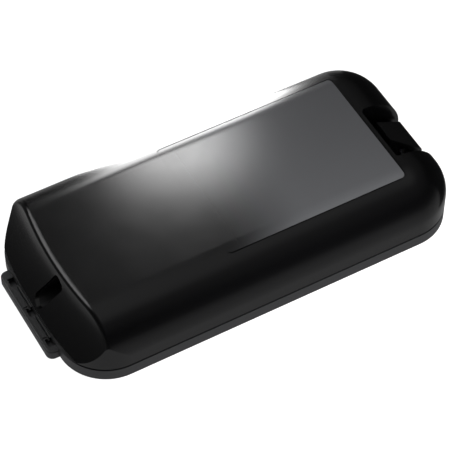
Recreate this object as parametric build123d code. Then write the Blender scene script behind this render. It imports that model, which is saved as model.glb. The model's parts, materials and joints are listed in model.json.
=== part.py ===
from build123d import *
import math
import os

# Clip-in battery pack: a moulded two-part case with a hooked toe at one end and a
# sprung latch at the other, round a block of cells with its protection board.
# Millimetres. X runs along the pack from the toe to the latch, Z is up, and the
# pack lies on its back. The origin is at the bottom centre of the whole pack.

# ---- driving dimensions: case ----
body_length = 240.0
body_width = 118.8
body_height = 43.2
plan_radius = 28.5
shoulder_radius = 25.0
wall = 2.4
pad_proud = 0.6
tray_top = 8.4
seal_thickness = 1.4
seal_inset = 1.2
toe_reach = 6.3
ridge_in = 12.8
ridge_radius = 3.0
foot_out = 1.9
lean_belly = (7.8, 24.6)
bow_radius = 243.0
run_out = 70.0
tray_edge = 0.3

# ---- driving dimensions: openings in the case ----
port_centre_y = -5.2
port_centre_z = 24.9
port_length = 27.5
port_width = 9.4
port_round = 3.4
port_tilt = 23.5
port_wall = 1.4
port_depth = 24.5
port_floor = 2.5
pin_offset = 5.0
notch_start = 212.8
notch_centre_y = -7.9
notch_width = 39.0
notch_floor = 12.6
label_start = 98.0
label_end = 210.6
label_margin = 17.6
label_gap = 0.6
label_end_gap = 0.06
label_inset = 0.05
label_recess = 1.0

# ---- driving dimensions: latch ----
pivot_along = 219.5
pivot_z = 27.6
pin_radius = 1.5
pivot_clearance = 0.05
lever_top = (216.4, 42.4)
lever_tip = (238.0, 23.8)
lever_plate = 2.8

# ---- driving dimensions: cells ----
cell_radius = 9.2
cell_length = 65.0
cell_pitch = 18.8
layer_rise = 16.4
low_layer_z = 13.4
bank_starts = (44.0, 112.0)
carrier_depth = 7.0
carrier_edge = 10.2
strip_thickness = 0.3
strip_width = 6.0

# ---- driving dimensions: fixings ----
screw_radius = 1.25
screw_head_radius = 2.9
screw_head_height = 2.0
screw_pocket_depth = 3.0
boss_radius = 4.4
spigot_radius = 3.4
screw_length = 14.0

left_end = -(body_length - toe_reach) / 2
right_end = left_end + body_length
tray_underside = pad_proud
tray_floor = tray_underside + wall
shell_bottom = tray_top + seal_thickness


def along(distance):
    """X of a place measured from the toe end of the case."""
    return left_end + distance


def block(x_range, y_range, z_range):
    """Box between two places along the pack, two across it and two heights."""
    size = [high - low for low, high in (x_range, y_range, z_range)]
    corner = Pos(along(x_range[0]), y_range[0], z_range[0])
    return corner * Box(*size, align=(Align.MIN, Align.MIN, Align.MIN))


def plan_prism(inset, bottom, top):
    """Rounded plan of the case, moved inwards by inset, between two heights."""
    outline = RectangleRounded(body_length - 2 * inset, body_width - 2 * inset, plan_radius - inset)
    centre = (left_end + right_end) / 2
    return Pos(centre, 0, bottom) * extrude(outline, top - bottom)


def side_profile(points, y_range):
    """Closed outline in distance-along and height, pushed across the pack."""
    corners = [(along(x), 0, z) for x, z in points]
    face = make_face(Polyline(corners, close=True))
    return Pos(0, y_range[0], 0) * extrude(face, y_range[1] - y_range[0], dir=(0, 1, 0))


def end_scoop(inset):
    """Everything outside the hollow end wall, which leans in to the ridge and bows out in plan."""
    foot = (along(-foot_out) + inset, 0, shell_bottom - 2)
    belly = (along(lean_belly[0]) + inset, 0, lean_belly[1])
    head = (along(ridge_in) + inset, 0, body_height)
    above = body_height + 10.0
    edges = [
        ThreePointArc(foot, belly, head),
        Line(head, (head[0], 0, above)),
        Line((head[0], 0, above), (foot[0] - 80.0, 0, above)),
        Line((foot[0] - 80.0, 0, above), (foot[0] - 80.0, 0, foot[2])),
        Line((foot[0] - 80.0, 0, foot[2]), foot),
    ]
    hinge = (along(ridge_in) + bow_radius, 0, 0)
    sector = revolve(make_face(edges), Axis(hinge, (0, 0, 1)), revolution_arc=60)
    return Pos(*hinge) * Rot(0, 0, -30) * Pos(-hinge[0], 0, 0) * sector


def case_form(inset, bottom):
    """Outer form of the upper case, moved inwards everywhere by inset."""
    length = body_length + run_out - inset
    outline = RectangleRounded(length, body_width - 2 * inset, plan_radius - inset)
    slab = extrude(outline, body_height - inset - bottom)
    slab = Pos(right_end - inset - length / 2, 0, bottom) * slab
    rim = slab.faces().sort_by(Axis.Z)[-1].edges()
    slab = fillet(rim, shoulder_radius - inset)
    return slab & plan_prism(inset, bottom, body_height) - end_scoop(inset)


# ---- case screws and pads share these places ----
screw_places = [(x, side * y) for x, y in ((24.0, 48.5), (95.0, 53.2), (216.0, 47.0)) for side in (-1, 1)]
boss_top = 20.0
pad_places = [(x, side * 36.0) for x in (42.0, 198.0) for side in (-1, 1)]
pad_radius = 7.0
pad_thickness = 1.6


def upright(radius, places, bottom, top):
    """Group of equal upright cylinders."""
    solid = Cylinder(radius, top - bottom, align=(Align.CENTER, Align.CENTER, Align.MIN))
    return [Pos(along(x), y, bottom) * solid for x, y in places]


def port_prism(grow, depth):
    """Prism of the port's rounded outline, grown all round, along +X from the toe end."""
    outline = RectangleRounded(port_length + 2 * grow, port_width + 2 * grow, port_round + grow)
    turn = Plane(origin=(along(0.0), port_centre_y, port_centre_z), x_dir=(0, 1, 0), z_dir=(1, 0, 0))
    return extrude(turn * Rot(0, 0, 90 + port_tilt) * outline, depth)


# ---- toe ----
toe_span = (-30.4, 32.4)
toe_top = 6.3
toe_round = 4.0
toe_edge = 0.8
key_pocket = (3.8, 6.0)
key_end = -0.1
key_spacing = 23.3
key_depth = 3.6
slit_width = 1.1
slit_depth = 2.2


def toe():
    """Hooked toe: a rounded bar along the tray's end with keyed pockets in its top."""
    back = 6.0
    outline = RectangleRounded(toe_reach + back, toe_span[1] - toe_span[0], toe_round)
    centre = (along((back - toe_reach) / 2), (toe_span[0] + toe_span[1]) / 2)
    bar = Pos(*centre, tray_underside) * extrude(outline, toe_top - tray_underside)
    bar = fillet(bar.edges().group_by(Axis.Z)[-1], toe_edge)
    pad_z = (toe_top - 0.1, toe_top + 0.6)
    for side in (-1, 1):
        low, high = sorted((side * 4.2, side * (key_spacing - 4.2)))
        bar += block((-toe_reach + 1.6, -2.2), (low, high), pad_z)
    return bar


def toe_pockets():
    """Keyed pockets and the slits that join them."""
    pockets = block((-2.0, -2.0 + slit_width), (-key_spacing, key_spacing), (toe_top - slit_depth, toe_top + 2))
    for step in (-1, 0, 1):
        y = step * key_spacing
        reach = (key_end - key_pocket[0], key_end)
        pockets += block(reach, (y - key_pocket[1] / 2, y + key_pocket[1] / 2), (toe_top - key_depth, toe_top + 2))
    return pockets


# ---- protection board places ----
board_x = (182.0, 208.0)
board_half = 42.0
board_z = (7.0, 8.6)
board_fixings = [(x, side * (board_half - 4.0)) for x in (186.0, 204.0) for side in (-1, 1)]


def base_tray():
    """Shallow tray that closes the back of the case, with the toe moulded on."""
    tray = plan_prism(0.0, tray_underside, tray_top)
    tray = chamfer(tray.edges().group_by(Axis.Z)[0], tray_edge)
    tray -= plan_prism(wall, tray_floor, tray_top + 1)
    tray += toe() - plan_prism(wall, tray_floor, tray_top + 1)
    tray -= toe_pockets()
    for post in upright(boss_radius + 0.8, screw_places, tray_underside, tray_top):
        tray += post
    for spigot in upright(spigot_radius, screw_places, tray_top - 1, shell_bottom):
        tray += spigot
    for post in upright(3.0, board_fixings, tray_floor - 0.2, board_z[0]):
        tray += post
    for hole in upright(screw_head_radius + 0.3, screw_places, 0.0, tray_underside + screw_pocket_depth):
        tray -= hole
    for hole in upright(screw_radius + 0.25, screw_places, 0.0, shell_bottom + 1):
        tray -= hole
    for hole in upright(0.9, board_fixings, tray_floor, board_z[0] + 1):
        tray -= hole
    for recess in upright(pad_radius + 0.15, pad_places, 0.0, pad_thickness):
        tray -= recess
    return tray


def perimeter_seal():
    """Flat seal squeezed between tray and upper case, set back to leave a shadow line."""
    ring = plan_prism(seal_inset, tray_top, shell_bottom)
    return ring - plan_prism(wall - 0.1, tray_top - 1, shell_bottom + 1)


def label_area(margin, end_margin, bottom):
    """Rounded rectangle of the label seen from above, drawn in on three sides and at the toe end."""
    length = label_end - label_start - margin - end_margin
    width = body_width - 2 * label_margin - 2 * margin
    outline = RectangleRounded(length, width, 2.4)
    centre = along(label_start + end_margin + length / 2)
    return Pos(centre, 0, bottom) * extrude(outline, body_height)


def notch_space(grow, floor):
    """Latch notch, open at the top and at the latch end."""
    half = notch_width / 2 + grow
    y_range = (notch_centre_y - half, notch_centre_y + half)
    space = block((notch_start - grow, body_length + 20), y_range, (floor, body_height + 10))
    corners = space.edges().filter_by(Axis.Z).sort_by(Axis.X)[0:2]
    return fillet(corners, 2.0 + grow)


lever_band = (notch_centre_y - 6.6, notch_centre_y + 7.9)
ear_thickness = 3.0
ear_gap = 0.3


def hinge_ears():
    """Two ears in the notch that carry the latch pin."""
    ears = []
    for inner, outer in ((lever_band[0] - ear_gap, -1), (lever_band[1] + ear_gap, 1)):
        low, high = sorted((inner, inner + outer * ear_thickness))
        plate = block((notch_start - 0.5, pivot_along + 4.0), (low, high), (notch_floor - 0.5, pivot_z))
        crown = Pos(along(pivot_along), (low + high) / 2, pivot_z) * Rot(90, 0, 0) * Cylinder(4.0, high - low)
        web = block((notch_start - 0.5, pivot_along), (low, high), (pivot_z - 1.0, pivot_z + 4.0))
        ears.append(plate + crown + web)
    return ears


def cross_bar(radius, y_range):
    """Round bar across the pack on the latch pivot."""
    length = y_range[1] - y_range[0]
    centre = Pos(along(pivot_along), (y_range[0] + y_range[1]) / 2, pivot_z)
    return centre * Rot(90, 0, 0) * Cylinder(radius, length)


def spring_seat():
    """Peg on the notch floor that the latch spring stands on."""
    return upright(spring_radius - 1.0, [spring_place], notch_floor - 0.5, notch_floor + 2.0)[0]


spring_place = (229.0, notch_centre_y + 0.6)
spring_radius = 3.2
lever_peg = (1.7, 1.6)
spring_wire = 0.35
spring_turns = 7
lever_slope = (lever_tip[1] - lever_top[1]) / (lever_tip[0] - lever_top[0])
plate_drop = lever_plate * math.sqrt(1 + lever_slope**2)
spring_top = lever_top[1] + (spring_place[0] + 4.0 - lever_top[0]) * lever_slope - plate_drop


def upper_shell():
    """Deep moulded cover with the label recess, the port and the latch notch."""
    outer = case_form(0.0, shell_bottom)
    ridge = outer.edges().group_by(Axis.Z)[-1].sort_by(Axis.X)[0]
    outer = fillet(ridge, ridge_radius)
    shell = outer - case_form(wall, shell_bottom - 1)
    shell += outer & notch_space(wall, notch_floor - wall)
    shell -= notch_space(0.0, notch_floor)
    for ear in hinge_ears():
        shell += ear & outer
    shell += spring_seat()
    shell -= cross_bar(pin_radius, (lever_band[0] - 8, lever_band[1] + 8))
    shell -= (outer - case_form(label_recess, shell_bottom - 1)) & label_area(0.0, 0.0, shell_bottom)
    for boss, (x, y) in zip(upright(boss_radius, screw_places, shell_bottom, boss_top), screw_places):
        rib = block((x - 1.0, x + 1.0), sorted((y, math.copysign(body_width / 2, y))), (shell_bottom, boss_top))
        shell += boss + (rib & outer)
    for pilot in upright(screw_radius + 0.05, screw_places, shell_bottom - 1, boss_top - 2.0):
        shell -= pilot
    shell -= port_prism(0.0, port_depth)
    return shell


def label_plate():
    """Blank label film seated in the recess, following the crown of the case."""
    skin = case_form(label_inset, shell_bottom) - case_form(label_recess, shell_bottom - 1)
    return skin & label_area(label_gap, label_end_gap, shell_bottom)


def port_insert():
    """Cup behind the end opening that carries the two contact pins."""
    cup = port_prism(port_wall, port_depth + port_floor)
    cup -= port_prism(0.0, port_depth)
    cup = cup & case_form(wall + 0.03, shell_bottom - 1)
    for pin in contact_pins():
        cup -= pin
    return cup


def contact_pins():
    """Two round contact pins through the floor of the port."""
    pins = []
    for step in (-1, 1):
        shift = step * pin_offset
        y = port_centre_y - shift * math.sin(math.radians(port_tilt))
        z = port_centre_z + shift * math.cos(math.radians(port_tilt))
        shaft = Cylinder(1.2, 14.0, align=(Align.CENTER, Align.CENTER, Align.MIN))
        shaft = fillet(shaft.edges().sort_by(Axis.Z)[0], 0.6)
        pins.append(Pos(along(16.0), y, z) * Rot(0, 90, 0) * shaft)
    return pins


# ---- latch ----
def latch_lever():
    """Sprung latch: a ramp that is pressed, a pivot barrel and a hook at its front."""
    under = [(x, z - plate_drop) for x, z in (lever_tip, lever_top)]
    plate = side_profile([lever_top, lever_tip, *under], (notch_centre_y - 20, notch_centre_y + 20))
    front = [
        (lever_tip[0], lever_tip[1]),
        (lever_tip[0] - 1.2, 20.0),
        (body_length - 0.1, 18.6),
        (body_length - 0.1, 17.4),
        (lever_tip[0] - 2.4, 16.4),
        (lever_tip[0] - 3.8, 16.4),
        (lever_tip[0] - 3.8, lever_tip[1] - 1.0),
    ]
    plate += side_profile(front, (notch_centre_y - 20, notch_centre_y + 20))
    plan = [
        (lever_top[0] - 1, lever_band[0]),
        (lever_tip[0] + 2, lever_band[0] - 1.8),
        (lever_tip[0] + 2, lever_band[1] + 8.2),
        (lever_top[0] - 1, lever_band[1] - 0.2),
    ]
    corners = [(along(x), y, 0) for x, y in plan]
    lever = plate & extrude(make_face(Polyline(corners, close=True)), body_height + 5)
    web = [
        (lever_top[0], pivot_z + 1.0),
        (lever_top[0], lever_top[1] - plate_drop + 1.0),
        (pivot_along + 4.0, lever_top[1] - 6.4),
        (pivot_along + 4.0, pivot_z + 1.0),
    ]
    lever += side_profile(web, lever_band)
    lever += cross_bar(4.0, lever_band)
    lever -= cross_bar(pin_radius + pivot_clearance, (lever_band[0] - 1, lever_band[1] + 1))
    under_plate = [
        (lever_tip[0], spring_top),
        (lever_tip[0], lever_tip[1] - 1.2),
        (lever_top[0], lever_top[1] - 1.2),
        (lever_top[0], spring_top),
    ]
    seat = upright(spring_radius + 0.9, [spring_place], spring_top, body_height)[0]
    lever += seat & side_profile(under_plate, (notch_centre_y - 20, notch_centre_y + 20))
    lever += upright(lever_peg[0], [spring_place], spring_top - lever_peg[1], spring_top + 1.0)[0]
    return lever


def latch_pin():
    """Steel pin pressed into the ears, that the lever swings on."""
    reach = ear_gap + ear_thickness + 0.4
    pin = cross_bar(pin_radius, (lever_band[0] - reach, lever_band[1] + reach))
    return chamfer(pin.edges().filter_by(GeomType.CIRCLE), 0.3)


def latch_spring():
    """Compression spring between the notch floor and the lever."""
    foot = notch_floor + spring_wire
    rise = spring_top - spring_wire - foot
    path = Helix(pitch=rise / spring_turns, height=rise, radius=spring_radius - spring_wire)
    section = Plane(origin=path @ 0, z_dir=path % 0) * Circle(spring_wire)
    coil = sweep(section, path=path, is_frenet=True)
    return Pos(along(spring_place[0]), spring_place[1], foot) * coil


# ---- cells and their carriers ----
low_row = [((i - 2) * cell_pitch, low_layer_z) for i in range(5)]
high_row = [((i - 1.5) * cell_pitch, low_layer_z + layer_rise) for i in range(4)]
chain = [spot for pair in zip(low_row, high_row) for spot in pair] + [low_row[-1]]


def cross_disc(radius, spot, x_range):
    """Round bar along the pack at one cell's place."""
    bar = Cylinder(radius, x_range[1] - x_range[0], align=(Align.CENTER, Align.CENTER, Align.MIN))
    return Pos(along(x_range[0]), spot[0], spot[1]) * Rot(0, 90, 0) * bar


def cell(spot, start):
    """One sleeved cylindrical cell with its rolled groove."""
    can = cross_disc(cell_radius, spot, (start + 0.6, start + cell_length - 0.6))
    can = fillet(can.edges().filter_by(GeomType.CIRCLE), 0.6)
    groove = cross_disc(cell_radius + 1, spot, (start + 3.6, start + 4.8))
    groove -= cross_disc(cell_radius - 0.5, spot, (start + 3.0, start + 5.4))
    can -= groove
    can += cross_disc(3.0, spot, (start, start + 1.0))
    can += cross_disc(7.6, spot, (start + cell_length - 1.0, start + cell_length))
    return can


def carrier(start):
    """Moulded plate that holds nine cell ends in place."""
    corners = [low_row[0], low_row[-1], high_row[-1], high_row[0]]
    outline = make_face(Polyline([(y, z) for y, z in corners], close=True))
    outline = offset(outline, carrier_edge, kind=Kind.ARC)
    face = Plane(origin=(along(start), 0, 0), x_dir=(0, 1, 0), z_dir=(1, 0, 0)) * outline
    plate = extrude(face, carrier_depth)
    for spot in chain:
        plate -= cross_disc(cell_radius + 0.05, spot, (start - 1, start + carrier_depth + 1))
    return plate


def bus_strip(spots, start):
    """Nickel strip welded along neighbouring cell ends."""
    strip = None
    for here, there in zip(spots, spots[1:]):
        length = math.dist(here, there) + strip_width
        angle = math.degrees(math.atan2(there[1] - here[1], there[0] - here[0]))
        middle = ((here[0] + there[0]) / 2, (here[1] + there[1]) / 2)
        face = Plane(origin=(along(start), 0, 0), x_dir=(0, 1, 0), z_dir=(1, 0, 0))
        link = extrude(face * Pos(*middle) * Rot(0, 0, angle) * SlotOverall(length, strip_width), strip_thickness)
        strip = link if strip is None else strip + link
    return strip


strip_faces = [bank_starts[0] - strip_thickness, bank_starts[0] + cell_length]
strip_faces += [bank_starts[1] - strip_thickness, bank_starts[1] + cell_length]
strip_groups = [(3, 9), (6, 9), (6, 9), (3, 9)]
gap_start = bank_starts[0] + cell_length + strip_thickness
gap_end = bank_starts[1] - strip_thickness


def bank_insulator():
    """Insulating sheet between the two banks of cells."""
    middle = (gap_start + gap_end) / 2
    return block((middle - 0.5, middle + 0.5), (-42.0, 33.0), (4.6, 36.6))


def bank_link():
    """Tab that joins the two banks in series past the insulator."""
    y, z = low_row[-1]
    return block((gap_start, gap_end), (y - 3.0, y + 3.0), (z - 2.5, z + 2.5))


# ---- protection board ----
def bms_board():
    """Protection board screwed to posts in the tray."""
    board = block(board_x, (-board_half, board_half), board_z)
    for hole in upright(1.1, board_fixings, 0.0, 20.0):
        board -= hole
    return board


def bms_mosfets():
    """Row of power transistors on the board."""
    start = board_x[0] + 6.5
    spots = [-22.0 + 8.0 * i for i in range(5)]
    return [block((start, start + 9.0), (y, y + 6.2), (board_z[1], board_z[1] + 2.3)) for y in spots]


fuse_y = (-36.0, -24.5)


def fuse():
    """Blade-style board fuse with its two end caps."""
    middle = block((190.0, 195.0), (fuse_y[0] + 2.0, fuse_y[1] - 2.0), (board_z[1], board_z[1] + 4.0))
    low = block((189.6, 195.4), (fuse_y[0], fuse_y[0] + 2.0), (board_z[1], board_z[1] + 4.4))
    high = block((189.6, 195.4), (fuse_y[1] - 2.0, fuse_y[1]), (board_z[1], board_z[1] + 4.4))
    return middle + low + high


def sense_connector():
    """Connector for the cell sensing lead."""
    shell = block((190.0, 196.0), (24.0, 34.0), (board_z[1], board_z[1] + 6.0))
    return shell - block((191.0, 195.0), (25.0, 33.0), (board_z[1] + 2.0, board_z[1] + 7.0))


def thermistor():
    """Bead sensor lying in the groove between two upper cells."""
    bead = cross_disc(1.4, (0.0, low_layer_z + layer_rise + 5.3), (78.0, 84.0))
    return fillet(bead.edges().filter_by(GeomType.CIRCLE), 0.6)


# ---- leads ----
def lead(points, radius):
    """Round lead along straight runs joined by arcs as large as the runs allow."""
    spots = [Vector(along(x), y, z) for x, y, z in points]
    runs = [b - a for a, b in zip(spots, spots[1:])]
    bends = []
    for before, after in zip(runs, runs[1:]):
        turn = math.radians(before.get_angle(after))
        bends.append(0.45 * min(before.length, after.length) / math.tan(turn / 2))
    path = FilletPolyline(*spots, radius=bends)
    section = Plane(origin=path @ 0, z_dir=path % 0) * Circle(radius)
    return sweep(section, path=path)


pin_spots = [
    (port_centre_y - s * pin_offset * math.sin(math.radians(port_tilt)),
     port_centre_z + s * pin_offset * math.cos(math.radians(port_tilt)))
    for s in (1, -1)
]
lead_radius = 1.3
first_strip = strip_faces[0]

positive_route = [
    (30.0, *pin_spots[0]),
    (35.0, *pin_spots[0]),
    (38.4, -12.0, 27.0),
    (38.8, -24.0, 29.4),
    (41.0, -28.2, 29.8),
    (first_strip, -28.2, 29.8),
]
negative_route = [
    (30.0, *pin_spots[1]),
    (35.0, *pin_spots[1]),
    (37.8, -10.0, 16.4),
    (37.6, -30.0, 21.6),
    (39.4, -45.6, 26.6),
    (54.0, -48.6, 27.6),
    (92.0, -48.2, 27.9),
    (132.0, -48.8, 27.5),
    (164.0, -48.2, 27.2),
    (181.0, -46.6, 24.8),
    (189.0, -39.6, 21.0),
    (192.5, -35.2, 17.6),
    (192.5, -35.0, board_z[1] + 4.45),
]
sense_route = [
    (110.5, low_row[-1][0], low_layer_z + 2.5),
    (110.5, low_row[-1][0], low_layer_z + 6.5),
    (111.6, 47.6, 26.6),
    (124.0, 49.2, 27.6),
    (150.0, 48.8, 27.4),
    (181.0, 48.0, 25.6),
    (189.0, 41.0, 22.4),
    (193.0, 31.6, 19.6),
    (193.0, 29.0, 15.6),
    (193.0, 28.9, board_z[1] + 2.4),
]


# ---- fixings, pads and foam ----
def case_screws():
    """Screws through the tray into the bosses of the upper case."""
    head_base = tray_underside + screw_pocket_depth
    heads = upright(screw_head_radius, screw_places, head_base - screw_head_height, head_base)
    shanks = upright(screw_radius, screw_places, head_base, head_base + screw_length)
    drives = upright(1.1, screw_places, head_base - screw_head_height - 1, head_base - 1)
    return [head + shank - drive for head, shank, drive in zip(heads, shanks, drives)]


def board_screws():
    """Small screws that hold the board to the tray posts."""
    heads = upright(1.9, board_fixings, board_z[1], board_z[1] + 1.4)
    shanks = upright(0.85, board_fixings, board_z[0] - 3.6, board_z[1])
    return [head + shank for head, shank in zip(heads, shanks)]


def rear_pads():
    """Rubber pads let into the back of the tray."""
    pads = upright(pad_radius, pad_places, 0.0, pad_thickness)
    return [fillet(pad.edges().sort_by(Axis.Z)[0], 0.4) for pad in pads]


def foam_under():
    """Foam sheet between the tray floor and the lower cells."""
    return [
        block((s + carrier_depth + 1, s + cell_length - carrier_depth - 1), (-44.0, 44.0), (tray_floor, 4.1))
        for s in bank_starts
    ]


def foam_over():
    """Foam sheet between the upper cells and the case."""
    top = body_height - wall
    return [
        block((s + carrier_depth + 1, s + cell_length - carrier_depth - 1), (-32.0, 32.0), (39.2, top))
        for s in bank_starts
    ]


def build_nodes():
    """Every named node with its solid or group of solids."""
    nodes = {
        "base_tray": base_tray(),
        "perimeter_seal": perimeter_seal(),
        "upper_shell": upper_shell(),
        "label_plate": label_plate(),
        "port_insert": port_insert(),
        "contact_pins": contact_pins(),
        "latch_lever": latch_lever(),
        "latch_pin": latch_pin(),
        "latch_spring": latch_spring(),
        "bank_insulator": bank_insulator(),
        "bank_link": bank_link(),
        "bms_board": bms_board(),
        "bms_mosfets": bms_mosfets(),
        "fuse": fuse(),
        "sense_connector": sense_connector(),
        "thermistor": thermistor(),
        "positive_lead": lead(positive_route, lead_radius),
        "negative_lead": lead(negative_route, lead_radius),
        "sense_lead": lead(sense_route, 0.9),
        "case_screws": case_screws(),
        "board_screws": board_screws(),
        "rear_pads": rear_pads(),
        "foam_under": foam_under(),
        "foam_over": foam_over(),
    }
    number = 0
    for start in bank_starts:
        for spot in chain:
            number += 1
            nodes[f"cell_{number:02d}"] = cell(spot, start)
    carriers = [c for s in bank_starts for c in (s, s + cell_length - carrier_depth)]
    for number, start in enumerate(carriers, 1):
        nodes[f"cell_carrier_{number}"] = carrier(start)
    for number, (start, (cut, end)) in enumerate(zip(strip_faces, strip_groups), 1):
        nodes[f"bus_strips_{number}"] = [bus_strip(chain[:cut], start), bus_strip(chain[cut:end], start)]
    return nodes


os.makedirs("parts", exist_ok=True)
for name, shape in build_nodes().items():
    solid = Compound(children=shape) if isinstance(shape, list) else shape
    export_step(solid, f"parts/{name}.step")
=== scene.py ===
import json
import math

import bmesh
import bpy
from mathutils import Matrix, Vector


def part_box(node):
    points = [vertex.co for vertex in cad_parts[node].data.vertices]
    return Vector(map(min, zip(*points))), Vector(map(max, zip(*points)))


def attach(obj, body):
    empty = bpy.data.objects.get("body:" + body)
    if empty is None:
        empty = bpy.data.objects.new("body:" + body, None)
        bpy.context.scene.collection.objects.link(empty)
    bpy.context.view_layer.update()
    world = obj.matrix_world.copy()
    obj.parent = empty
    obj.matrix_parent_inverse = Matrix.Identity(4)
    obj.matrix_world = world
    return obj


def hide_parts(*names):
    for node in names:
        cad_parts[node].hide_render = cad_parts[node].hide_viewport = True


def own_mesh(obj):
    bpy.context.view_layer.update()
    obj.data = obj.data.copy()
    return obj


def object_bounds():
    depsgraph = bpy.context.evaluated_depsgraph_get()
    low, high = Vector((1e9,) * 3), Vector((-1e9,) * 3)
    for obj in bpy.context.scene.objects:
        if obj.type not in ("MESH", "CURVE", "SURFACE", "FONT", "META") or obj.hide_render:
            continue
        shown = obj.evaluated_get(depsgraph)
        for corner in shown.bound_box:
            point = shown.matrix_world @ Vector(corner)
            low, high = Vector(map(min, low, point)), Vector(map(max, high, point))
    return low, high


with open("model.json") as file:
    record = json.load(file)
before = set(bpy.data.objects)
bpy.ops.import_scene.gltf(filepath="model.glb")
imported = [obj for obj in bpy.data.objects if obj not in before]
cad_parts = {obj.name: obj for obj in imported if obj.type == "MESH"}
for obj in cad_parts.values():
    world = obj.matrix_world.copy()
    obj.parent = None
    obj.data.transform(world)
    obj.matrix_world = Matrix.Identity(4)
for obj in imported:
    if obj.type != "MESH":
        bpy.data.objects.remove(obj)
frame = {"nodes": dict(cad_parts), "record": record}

# Looks of the clip-in battery pack: moulded black case, grey tray, blank label and
# the parts inside, on a light table, with soft panels and grey cards for it to mirror.
# Metres throughout.

MM = 0.001
nodes = frame["nodes"]
cad_low, cad_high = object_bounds()


# ---- camera ----
def place_camera(azimuth, elevation, roll, distance, lens, target):
    """Camera that looks at target from a compass angle and a height above the horizon."""
    turn = math.radians(azimuth)
    rise = math.radians(elevation)
    back = Vector((-math.sin(turn) * math.cos(rise), -math.cos(turn) * math.cos(rise), math.sin(rise)))
    right = Vector((0, 0, 1)).cross(back).normalized()
    up = back.cross(right)
    lean = math.radians(roll)
    across = right * math.cos(lean) + up * math.sin(lean)
    upward = up * math.cos(lean) - right * math.sin(lean)
    data = bpy.data.cameras.new("camera")
    data.lens = lens
    data.sensor_width = 36.0
    data.clip_start = 0.05
    data.clip_end = 50.0
    camera = bpy.data.objects.new("camera", data)
    facing = Matrix((across, upward, back)).transposed().to_4x4()
    camera.matrix_world = Matrix.Translation(target + back * distance) @ facing
    bpy.context.scene.collection.objects.link(camera)
    bpy.context.scene.camera = camera


place_camera(
    azimuth=29.54,
    elevation=51.40,
    roll=0.48,
    distance=1.2444,
    lens=176.0,
    target=Vector((0.00543, 0.00581, 0.0006)),
)


# ---- material helpers ----
class Paint:
    """A node material with one Principled shader, and short ways to add its detail."""

    def __init__(self, name, colour, roughness, metallic=0.0, specular=0.5):
        self.material = bpy.data.materials.new(name)
        self.material.use_nodes = True
        self.tree = self.material.node_tree
        self.shader = self.tree.nodes["Principled BSDF"]
        self.colour = colour
        self.shader.inputs["Base Color"].default_value = (*colour, 1.0)
        self.shader.inputs["Roughness"].default_value = roughness
        self.shader.inputs["Metallic"].default_value = metallic
        self.shader.inputs["Specular IOR Level"].default_value = specular
        self.coordinates = self.add("ShaderNodeTexCoord").outputs["Object"]
        self.bumped = None

    def add(self, kind):
        return self.tree.nodes.new(kind)

    def link(self, output, node, socket):
        self.tree.links.new(output, node.inputs[socket])

    def stretched(self, stretch):
        """Object coordinates scaled along each axis, so that a texture becomes streaks."""
        mapping = self.add("ShaderNodeMapping")
        mapping.inputs["Scale"].default_value = stretch
        self.link(self.coordinates, mapping, "Vector")
        return mapping.outputs["Vector"]

    def noise(self, size, detail=2.0, stretch=(1.0, 1.0, 1.0)):
        """Noise whose lumps are about size metres across."""
        texture = self.add("ShaderNodeTexNoise")
        texture.inputs["Scale"].default_value = 1.0 / size
        texture.inputs["Detail"].default_value = detail
        self.link(self.stretched(stretch), texture, "Vector")
        return texture.outputs["Fac"]

    def cells(self, size):
        """Cell pattern whose cells are about size metres across."""
        texture = self.add("ShaderNodeTexVoronoi")
        texture.inputs["Scale"].default_value = 1.0 / size
        self.link(self.coordinates, texture, "Vector")
        return texture.outputs["Distance"]

    def spread(self, value, low, high):
        """A 0 to 1 pattern, turned into the range low to high about its middle."""
        ranged = self.add("ShaderNodeMapRange")
        ranged.inputs["From Min"].default_value = 0.3
        ranged.inputs["From Max"].default_value = 0.7
        ranged.inputs["To Min"].default_value = low
        ranged.inputs["To Max"].default_value = high
        self.link(value, ranged, "Value")
        return ranged.outputs["Result"]

    def vary_roughness(self, value, low, high):
        self.link(self.spread(value, low, high), self.shader, "Roughness")

    def vary_colour(self, value, other):
        """Mixes the base colour with another one by a pattern."""
        mix = self.add("ShaderNodeMix")
        mix.data_type = "RGBA"
        mix.inputs["A"].default_value = (*self.colour, 1.0)
        mix.inputs["B"].default_value = (*other, 1.0)
        self.link(self.spread(value, 0.0, 1.0), mix, "Factor")
        self.link(mix.outputs["Result"], self.shader, "Base Color")

    def bump(self, value, depth, strength=1.0):
        """Adds a relief of about depth metres on top of the reliefs before it."""
        relief = self.add("ShaderNodeBump")
        relief.inputs["Strength"].default_value = strength
        relief.inputs["Distance"].default_value = depth
        self.link(value, relief, "Height")
        if self.bumped is not None:
            self.link(self.bumped, relief, "Normal")
        self.bumped = relief.outputs["Normal"]
        self.link(self.bumped, self.shader, "Normal")


def lighter(colour, factor):
    return tuple(min(1.0, c * factor) for c in colour)


def moulded(name, colour, roughness, specular, grain_depth):
    """Injection-moulded plastic with a fine spark-eroded grain and slight handling polish."""
    paint = Paint(name, colour, roughness, specular=specular)
    paint.vary_roughness(paint.noise(14 * MM, 3.0), roughness - 0.012, roughness + 0.012)
    paint.vary_colour(paint.noise(0.5 * MM, 2.0), lighter(colour, 1.25))
    paint.bump(paint.noise(0.45 * MM, 3.0), grain_depth)
    return paint.material


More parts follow.
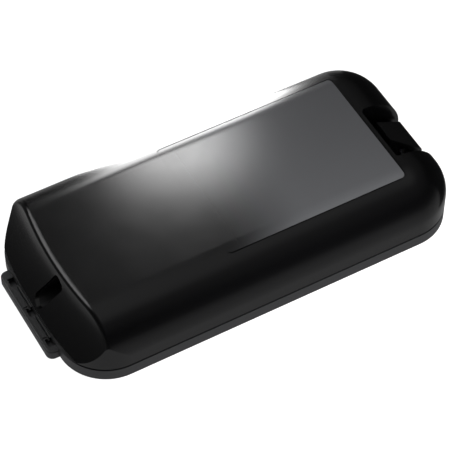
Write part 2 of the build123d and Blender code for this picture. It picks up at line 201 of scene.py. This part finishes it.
def film(name, colour, end_colour, start, end, roughness, specular):
    """Blank grey film with painted shade: its cut edges are painted black as shade down in its groove,
    and its face is painted shade that fades along the pack from black to a grey.
    """
    paint = Paint(name, colour, roughness, specular=specular)
    # Painted shade: the face is black at start and fades to end_colour by end, along the pack.
    parts = paint.add("ShaderNodeSeparateXYZ")
    paint.link(paint.coordinates, parts, "Vector")
    fade = paint.add("ShaderNodeMapRange")
    fade.interpolation_type = "SMOOTHSTEP"
    fade.inputs["From Min"].default_value = start
    fade.inputs["From Max"].default_value = end
    paint.link(parts.outputs["X"], fade, "Value")
    mix = paint.add("ShaderNodeMix")
    mix.data_type = "RGBA"
    mix.inputs["A"].default_value = (*colour, 1.0)
    mix.inputs["B"].default_value = (*end_colour, 1.0)
    paint.link(fade.outputs["Result"], mix, "Factor")
    # Painted shade: faces that don't look upwards, the film's cut edges down in the groove, are kept
    # black.
    facing = paint.add("ShaderNodeSeparateXYZ")
    paint.link(paint.add("ShaderNodeNewGeometry").outputs["True Normal"], facing, "Vector")
    face = paint.add("ShaderNodeMapRange")
    face.inputs["From Min"].default_value = 0.6
    face.inputs["From Max"].default_value = 0.8
    paint.link(facing.outputs["Z"], face, "Value")
    cut = paint.add("ShaderNodeMix")
    cut.data_type = "RGBA"
    cut.inputs["A"].default_value = (*colour, 1.0)
    paint.link(mix.outputs["Result"], cut, "B")
    paint.link(face.outputs["Result"], cut, "Factor")
    paint.link(cut.outputs["Result"], paint.shader, "Base Color")
    paint.vary_roughness(paint.noise(9 * MM, 2.0), roughness - 0.01, roughness + 0.01)
    paint.bump(paint.noise(0.6 * MM, 2.0), 0.003 * MM)
    return paint.material


def metal(name, colour, roughness, stretch):
    """Drawn, ground or rolled metal with streaks along its working direction."""
    paint = Paint(name, colour, roughness, metallic=1.0)
    streaks = paint.noise(0.3 * MM, 3.0, stretch)
    paint.vary_roughness(streaks, roughness - 0.06, roughness + 0.08)
    paint.vary_colour(paint.noise(2.5 * MM, 3.0), lighter(colour, 0.82))
    paint.bump(streaks, 0.006 * MM)
    return paint.material


def rubber(name, colour, roughness):
    """Dull rubber or silicone with a dusty bloom."""
    paint = Paint(name, colour, roughness, specular=0.3)
    paint.vary_colour(paint.noise(3 * MM, 4.0), lighter(colour, 1.5))
    paint.bump(paint.noise(0.25 * MM, 3.0), 0.012 * MM)
    paint.shader.inputs["Sheen Weight"].default_value = 0.08
    return paint.material


def foam(name, colour):
    """Closed-cell foam with open cut cells."""
    paint = Paint(name, colour, 0.9, specular=0.15)
    paint.vary_colour(paint.cells(0.8 * MM), lighter(colour, 0.6))
    paint.bump(paint.cells(0.8 * MM), 0.2 * MM)
    return paint.material


def sleeve(name, colour):
    """Shrink sleeve, glossy and lightly drawn in along the cell."""
    paint = Paint(name, colour, 0.28, specular=0.5)
    paint.vary_colour(paint.noise(6 * MM, 2.0), lighter(colour, 0.8))
    paint.bump(paint.noise(1.6 * MM, 2.0, (0.15, 1.0, 1.0)), 0.03 * MM)
    return paint.material


def laminate(name, colour):
    """Circuit laminate under solder mask, with a faint weave and copper showing through."""
    paint = Paint(name, colour, 0.32, specular=0.5)
    paint.vary_colour(paint.cells(3.2 * MM), lighter(colour, 1.7))
    paint.bump(paint.noise(0.5 * MM, 1.0, (1.0, 0.25, 1.0)), 0.01 * MM)
    return paint.material


def fibre(name, colour):
    """Fish paper, with flecks and a soft tooth."""
    paint = Paint(name, colour, 0.8, specular=0.2)
    paint.vary_colour(paint.noise(0.9 * MM, 5.0), lighter(colour, 0.75))
    paint.bump(paint.noise(0.4 * MM, 4.0), 0.04 * MM)
    return paint.material


def glazed(name, colour):
    """Fired ceramic with a light mottle."""
    paint = Paint(name, colour, 0.22, specular=0.5)
    paint.vary_colour(paint.noise(1.2 * MM, 4.0), lighter(colour, 0.9))
    paint.bump(paint.noise(0.8 * MM, 2.0), 0.01 * MM)
    return paint.material


# ---- one material for each slot of the record ----
BLACK = (0.0022, 0.0022, 0.0025)
GREY = (0.022, 0.022, 0.024)
LABEL_GREY = (0.185, 0.188, 0.198)
label_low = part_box("label_plate")[0]
ALONG = (0.05, 1.0, 1.0)
UPRIGHT = (1.0, 1.0, 0.05)
ROUND = (1.0, 0.05, 1.0)

finishes = {
    "case_plastic": moulded("case_plastic", BLACK, 0.21, 0.42, 0.003 * MM),
    "tray_plastic": moulded("tray_plastic", GREY, 0.46, 0.50, 0.035 * MM),
    "latch_plastic": moulded("latch_plastic", BLACK, 0.25, 0.42, 0.008 * MM),
    "port_plastic": moulded("port_plastic", (0.006, 0.006, 0.0065), 0.55, 0.3, 0.02 * MM),
    # Painted shade on the label film: black at its left end and black on its cut edges.
    "label_film": film("label_film", BLACK, LABEL_GREY, label_low.x, label_low.x + 55 * MM, 0.21, 0.42),
    "seal_rubber": rubber("seal_rubber", (0.004, 0.004, 0.004), 0.8),
    "pad_rubber": rubber("pad_rubber", (0.016, 0.016, 0.017), 0.75),
    "pin_steel": metal("pin_steel", (0.60, 0.60, 0.61), 0.25, ROUND),
    "spring_steel": metal("spring_steel", (0.45, 0.45, 0.46), 0.32, ROUND),
    "screw_steel": metal("screw_steel", (0.50, 0.50, 0.52), 0.35, UPRIGHT),
    "contact_brass": metal("contact_brass", (0.80, 0.62, 0.32), 0.25, ALONG),
    "nickel": metal("nickel", (0.66, 0.64, 0.60), 0.30, UPRIGHT),
    "cell_sleeve": sleeve("cell_sleeve", (0.03, 0.12, 0.24)),
    "carrier_plastic": moulded("carrier_plastic", (0.10, 0.105, 0.11), 0.5, 0.45, 0.02 * MM),
    "insulator_card": fibre("insulator_card", (0.50, 0.45, 0.34)),
    "board_laminate": laminate("board_laminate", (0.01, 0.09, 0.035)),
    "chip_plastic": moulded("chip_plastic", (0.012, 0.012, 0.012), 0.55, 0.4, 0.01 * MM),
    "fuse_ceramic": glazed("fuse_ceramic", (0.72, 0.70, 0.64)),
    "connector_plastic": moulded("connector_plastic", (0.62, 0.58, 0.50), 0.45, 0.45, 0.01 * MM),
    "bead_resin": glazed("bead_resin", (0.02, 0.015, 0.015)),
    "red_insulation": rubber("red_insulation", (0.35, 0.015, 0.01), 0.5),
    "black_insulation": rubber("black_insulation", (0.012, 0.012, 0.012), 0.5),
    "white_insulation": rubber("white_insulation", (0.60, 0.60, 0.57), 0.5),
    "foam": foam("foam", (0.05, 0.05, 0.055)),
}


def dress(piece, finish):
    """Gives a piece one material all over."""
    piece.data.materials.clear()
    piece.data.materials.append(finishes[finish])


for part in frame["record"]["subparts"]:
    dress(nodes[part["node"]], part["material_slot"])


# ---- latch spring: a drawn coil in the CAD spring's place ----
def latch_coil():
    """Compression spring with ground end turns, in the CAD spring's place."""
    low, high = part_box("latch_spring")
    wire = 0.35 * MM
    turns = 7
    steps = 28
    centre = (low + high) / 2
    radius = (high.x - low.x) / 2 - wire
    curve = bpy.data.curves.new("latch_coil", "CURVE")
    curve.dimensions = "3D"
    curve.bevel_depth = wire
    curve.bevel_resolution = 3
    spline = curve.splines.new("NURBS")
    count = turns * steps + 1
    spline.points.add(count - 1)
    for i, point in enumerate(spline.points):
        share = i / (count - 1)
        angle = 2 * math.pi * turns * share
        eased = share - 0.035 * math.sin(2 * math.pi * share)
        height = low.z + wire + (high.z - low.z - 2 * wire) * eased
        point.co = (centre.x + radius * math.cos(angle), centre.y + radius * math.sin(angle), height, 1)
    spline.order_u = 3
    spline.use_endpoint_u = True
    line = bpy.data.objects.new("latch_coil_line", curve)
    bpy.context.scene.collection.objects.link(line)
    bpy.context.view_layer.update()
    mesh = bpy.data.meshes.new_from_object(line.evaluated_get(bpy.context.evaluated_depsgraph_get()))
    bpy.data.objects.remove(line)
    mesh.name = "latch_coil"
    coil = bpy.data.objects.new("latch_coil", mesh)
    bpy.context.scene.collection.objects.link(coil)
    for polygon in mesh.polygons:
        polygon.use_smooth = True
    dress(coil, "spring_steel")
    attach(coil, "pack")
    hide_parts("latch_spring")
    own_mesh(coil)


latch_coil()


# ---- foam: sheets between the cells and the case, swollen a little between the cells ----
CELL_PITCH = 18.8 * MM
SHEET_LENGTH = 49.0 * MM
SHEET_STEP = 1.6 * MM
EDGE_ROUND = 0.5 * MM
TROUGH_SHARE = 0.22


def stations(start, end):
    """Places across a sheet, close together at its rounded edges."""
    edge = [0.0, 0.05 * MM, 0.15 * MM, 0.3 * MM, 0.5 * MM, 0.8 * MM]
    count = round((end - start) / SHEET_STEP)
    inner = [start + (end - start) * i / count for i in range(1, count)]
    return [start + e for e in edge] + inner + [end - e for e in reversed(edge)]


def foam_sheets(node, name, towards_cells, cell_shift):
    """Two die-cut sheets in the CAD foam's place, with the cells' troughs pressed into one face."""
    low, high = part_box(node)
    middle = (low.z + high.z) / 2
    half = (high.z - low.z) / 2
    verts = []
    faces = []
    for start, end in ((low.x, low.x + SHEET_LENGTH), (high.x - SHEET_LENGTH, high.x)):
        columns = stations(start, end)
        rows = stations(low.y, high.y)
        for side in (-1, 1):
            base = len(verts)
            for x in columns:
                for y in rows:
                    rim = min(x - start, end - x, y - low.y, high.y - y)
                    round_off = math.sqrt(1 - max(0.0, 1 - rim / EDGE_ROUND) ** 2)
                    trough = math.cos(math.pi * (y - cell_shift) / CELL_PITCH) ** 2
                    sink = TROUGH_SHARE * half * trough if side == towards_cells else 0.0
                    verts.append((x, y, middle + side * (half - sink) * round_off))
            for i in range(len(columns) - 1):
                for j in range(len(rows) - 1):
                    a = base + i * len(rows) + j
                    quad = (a, a + len(rows), a + len(rows) + 1, a + 1)
                    faces.append(quad if side == 1 else quad[::-1])
    mesh = bpy.data.meshes.new(name)
    mesh.from_pydata(verts, [], faces)
    work = bmesh.new()
    work.from_mesh(mesh)
    bmesh.ops.remove_doubles(work, verts=work.verts, dist=0.001 * MM)
    work.to_mesh(mesh)
    work.free()
    for polygon in mesh.polygons:
        polygon.use_smooth = True
    sheets = bpy.data.objects.new(name, mesh)
    bpy.context.scene.collection.objects.link(sheets)
    dress(sheets, "foam")
    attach(sheets, "pack")
    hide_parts(node)


foam_sheets("foam_under", "foam_sheets_under", 1, 0.0)
foam_sheets("foam_over", "foam_sheets_over", -1, CELL_PITCH / 2)


# ---- floor ----
def floor_material():
    """White light table under matt paper."""
    paint = Paint("light_table", (0.80, 0.80, 0.80), 0.9, specular=0.0)
    paint.vary_colour(paint.noise(0.2, 2.0), (0.82, 0.82, 0.82))
    paint.shader.inputs["Emission Color"].default_value = (1.0, 1.0, 1.0, 1.0)
    paint.shader.inputs["Emission Strength"].default_value = 1.0
    return paint.material


def make_floor():
    size = 6.0
    mesh = bpy.data.meshes.new("floor")
    corners = [(-size, -size, 0), (size, -size, 0), (size, size, 0), (-size, size, 0)]
    mesh.from_pydata([Vector(c) for c in corners], [], [(0, 1, 2, 3)])
    floor = bpy.data.objects.new("floor", mesh)
    floor.location.z = cad_low.z - 0.0002
    floor.visible_glossy = False
    mesh.materials.append(floor_material())
    bpy.context.scene.collection.objects.link(floor)


make_floor()


# ---- light ----
def glow_material(name, radiance, inner, outer):
    """Emission that is full within inner and fades to nothing at outer, along each side of a panel."""
    material = bpy.data.materials.new(name)
    material.use_nodes = True
    tree = material.node_tree
    tree.nodes.clear()
    place = tree.nodes.new("ShaderNodeTexCoord")
    parts = tree.nodes.new("ShaderNodeSeparateXYZ")
    tree.links.new(place.outputs["Object"], parts.inputs["Vector"])
    strength = None
    for side, axis in enumerate("XY"):
        size = tree.nodes.new("ShaderNodeMath")
        size.operation = "ABSOLUTE"
        tree.links.new(parts.outputs[axis], size.inputs[0])
        fade = tree.nodes.new("ShaderNodeMapRange")
        fade.interpolation_type = "SMOOTHERSTEP"
        fade.inputs["From Min"].default_value = inner[side]
        fade.inputs["From Max"].default_value = outer[side]
        fade.inputs["To Min"].default_value = radiance if side == 0 else 1.0
        fade.inputs["To Max"].default_value = 0.0
        tree.links.new(size.outputs[0], fade.inputs["Value"])
        if strength is None:
            strength = fade.outputs["Result"]
            continue
        product = tree.nodes.new("ShaderNodeMath")
        product.operation = "MULTIPLY"
        tree.links.new(strength, product.inputs[0])
        tree.links.new(fade.outputs["Result"], product.inputs[1])
        strength = product.outputs[0]
    glow = tree.nodes.new("ShaderNodeEmission")
    output = tree.nodes.new("ShaderNodeOutputMaterial")
    tree.links.new(strength, glow.inputs["Strength"])
    tree.links.new(glow.outputs["Emission"], output.inputs["Surface"])
    return material


def softbox(name, place, look_at, radiance, inner, outer, lights_matt=True, mirrored=True):
    """Soft-edged light panel, or a grey card when dim, that faces a point with its first side level."""
    mesh = bpy.data.meshes.new(name)
    corners = [(sx * outer[0], sy * outer[1], 0) for sx, sy in ((-1, -1), (1, -1), (1, 1), (-1, 1))]
    mesh.from_pydata([Vector(c) for c in corners], [], [(0, 1, 2, 3)])
    mesh.materials.append(glow_material(name, radiance, inner, outer))
    panel = bpy.data.objects.new(name, mesh)
    away = (Vector(place) - Vector(look_at)).normalized()
    level = Vector((0, 0, 1)).cross(away).normalized()
    facing = Matrix((level, away.cross(level), away)).transposed().to_4x4()
    panel.matrix_world = Matrix.Translation(place) @ facing
    panel.visible_camera = False
    panel.visible_shadow = False
    panel.visible_diffuse = lights_matt
    panel.visible_glossy = mirrored
    bpy.context.scene.collection.objects.link(panel)


def studio_world():
    """Grey below, dark at the horizon and brighter overhead."""
    world = bpy.data.worlds.new("studio")
    world.use_nodes = True
    bpy.context.scene.world = world
    tree = world.node_tree
    direction = tree.nodes.new("ShaderNodeTexCoord")
    parts = tree.nodes.new("ShaderNodeSeparateXYZ")
    height = tree.nodes.new("ShaderNodeMapRange")
    ramp = tree.nodes.new("ShaderNodeValToRGB")
    height.inputs["From Min"].default_value = -1.0
    tree.links.new(direction.outputs["Generated"], parts.inputs["Vector"])
    tree.links.new(parts.outputs["Z"], height.inputs["Value"])
    tree.links.new(height.outputs["Result"], ramp.inputs["Fac"])
    tree.links.new(ramp.outputs["Color"], tree.nodes["Background"].inputs["Color"])
    below = [(-1.0, 0.36), (-0.3, 0.33), (0.0, 0.05)]
    above = [(0.35, 0.02), (0.65, 0.10), (0.78, 0.12), (0.86, 0.28), (0.93, 0.44)]
    band = ramp.color_ramp
    while len(band.elements) < len(below + above):
        band.elements.new(0.5)
    for element, (rise, value) in zip(band.elements, below + above):
        element.position = (rise + 1.0) / 2
        element.color = (value, value, value, 1.0)


studio_world()

# Each has its place, the point it faces, its radiance, and the sides it is full within and ends at.
softbox("top_softbox", (0.0535, 0.1576, 0.199), (-0.008, 0.049, 0.043), 21.0, (0.0, 0.0), (0.068, 0.042),
        lights_matt=False)
softbox("back_panel", (0.095, 0.30, 0.03), (0.095, 0.0, 0.03), 17.0, (0.048, 0.14), (0.086, 0.24),
        lights_matt=False)
softbox("front_fill", (0.042, -0.175, 0.150), (0.042, 0.0, 0.043), 4.0, (0.05, 0.05), (0.08, 0.08),
        mirrored=False)
softbox("ridge_panel", (-0.255, 0.165, 0.243), (-0.104, 0.0, 0.042), 3.2, (0.06, 0.04), (0.22, 0.17),
        lights_matt=False)
softbox("end_card", (-0.385, 0.19, -0.047), (-0.105, 0.0, 0.03), 0.08, (0.27, 0.13), (0.31, 0.16),
        lights_matt=False)
softbox("latch_card", (0.36, 0.15, 0.0), (0.0, 0.15, 0.0), 0.02, (0.26, 0.18), (0.28, 0.2),
        lights_matt=False)

bpy.context.scene.view_settings.view_transform = "Standard"
